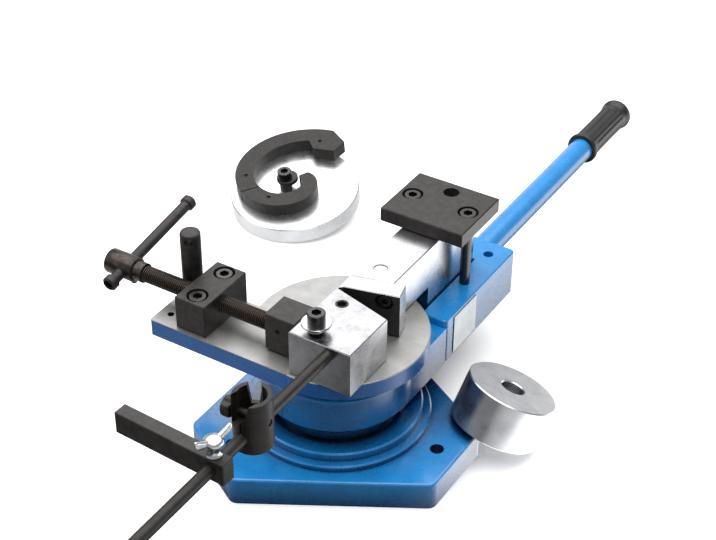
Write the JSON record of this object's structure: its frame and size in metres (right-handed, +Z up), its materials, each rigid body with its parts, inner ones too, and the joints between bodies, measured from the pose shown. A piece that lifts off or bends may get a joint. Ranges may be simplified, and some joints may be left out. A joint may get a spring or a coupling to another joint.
{
  "type": "manual metal bender",
  "caption": "Bench bender for bar and rod: a hexagonal base, a table with a screw clamp, a lever that swings round a pivot, a length stop, a scroll former set and a loose roller.",
  "frame": {"origin": "the lever's pivot axis at the underside of the base, which is the centre of the three bolt holes", "axes": "+Z up along the pivot axis, +Y along the lever at rest, -X along the table's arm, towards the clamping screw's head"},
  "size_m": [0.5011, 0.954, 0.194],
  "materials": {
    "blue_enamel": "smooth gloss enamel over cast iron",
    "ground_casting": "ground flat on top",
    "ground_steel": "surface ground",
    "turned_steel": "lathe turned",
    "black_oxide": "blackened, oiled",
    "spring_steel": "oil tempered wire",
    "bronze": "turned bearing bronze",
    "zinc_plate": "bright zinc plate",
    "grip_rubber": "moulded, satin",
    "foil_plate": "matt foil, blank"
  },
  "bodies": {
    "root": {"base_plate": "blue_enamel", "kingpin": "turned_steel", "kingpin_screws": "black_oxide", "lower_thrust_washer": "bronze", "upper_thrust_washer": "bronze", "table_casting": "ground_casting", "table_screws": "black_oxide", "clamp_block": "ground_steel", "block_screws": "black_oxide", "block_bolt": "black_oxide", "block_washer": "zinc_plate", "block_plug": "black_oxide", "block_spring": "spring_steel", "nut_block": "black_oxide", "nut_block_screws": "black_oxide", "stop_post": "black_oxide", "stop_rod": "black_oxide"},
    "lever": {"lever_casting": "blue_enamel", "hub_bush": "bronze", "bending_bar": "ground_steel", "bar_foot_screws": "black_oxide", "bending_face": "black_oxide", "face_screws": "black_oxide", "bar_pin": "turned_steel", "top_plate": "black_oxide", "plate_screws": "black_oxide", "lever_tube": "blue_enamel", "tube_set_screw": "black_oxide", "lever_grip": "grip_rubber", "side_plate": "foil_plate"},
    "jaw": {"clamp_jaw": "black_oxide", "jaw_pin": "black_oxide"},
    "spindle": {"clamping_screw": "black_oxide", "head_grub_screw": "black_oxide"},
    "handle_bar": {"tbar": "black_oxide", "tbar_knobs": "black_oxide"},
    "bar_stop": {"stop_bar": "black_oxide"},
    "wing": {"wing_screw": "zinc_plate"},
    "rest": {"notched_rest": "black_oxide"},
    "pinch": {"pinch_knob": "black_oxide"},
    "scroll": {"scroll_plate": "turned_steel", "scroll_locating_pins": "turned_steel", "outer_former": "black_oxide", "inner_former": "black_oxide", "former_screws": "black_oxide"},
    "eccentric": {"eccentric_pin": "black_oxide", "eccentric_screw": "black_oxide"},
    "roller": {"former_roller": "ground_steel"}
  },
  "joints": [
    {"name": "lever_swing", "type": "hinge", "parent": "root", "child": "lever", "pos_m": [0, 0, 0.07], "axis": [0, 0, 1], "range_deg": [-16, 85]},
    {"name": "jaw_slide", "type": "slide", "parent": "root", "child": "jaw", "axis": [1, 0, 0], "range_m": [-0.05, 0.004]},
    {"name": "spindle_spin", "type": "hinge", "parent": "jaw", "child": "spindle", "pos_m": [-0.2, -0.0449, 0.1405], "axis": [1, 0, 0], "range_deg": [-9000, 720]},
    {"name": "tbar_slide", "type": "slide", "parent": "spindle", "child": "handle_bar", "axis": [0, 0.9842, 0.1771], "range_m": [-0.08, 0.0068]},
    {"name": "stop_bar_slide", "type": "slide", "parent": "root", "child": "bar_stop", "axis": [0, 1, 0], "range_m": [-0.12, 0.015]},
    {"name": "wing_turn", "type": "hinge", "parent": "bar_stop", "child": "wing", "pos_m": [0.04, -0.2378, 0.18], "axis": [0, 0, 1], "range_deg": [-30, 90]},
    {"name": "rest_slide", "type": "slide", "parent": "root", "child": "rest", "axis": [0, 1, 0], "range_m": [0, 0.09]},
    {"name": "pinch_turn", "type": "hinge", "parent": "rest", "child": "pinch", "pos_m": [0.02, -0.186, 0.172], "axis": [1, 0, 0], "range_deg": [-90, 90]},
    {"name": "scroll_lift", "type": "slide", "parent": "root", "child": "scroll", "axis": [0, 0, 1], "range_m": [0, 0.15]},
    {"name": "eccentric_turn", "type": "hinge", "parent": "scroll", "child": "eccentric", "pos_m": [-0.2527, 0.29035, 0.02832], "axis": [0, -0.153, 0.9882], "range_deg": [-90, 90]},
    {"name": "roller_lift", "type": "slide", "parent": "root", "child": "roller", "axis": [0, 0, 1], "range_m": [0, 0.2]}
  ],
  "couplings": [
    {"joint": "spindle_spin", "follows": "jaw_slide", "rad_per_m": 3141.6}
  ]
}
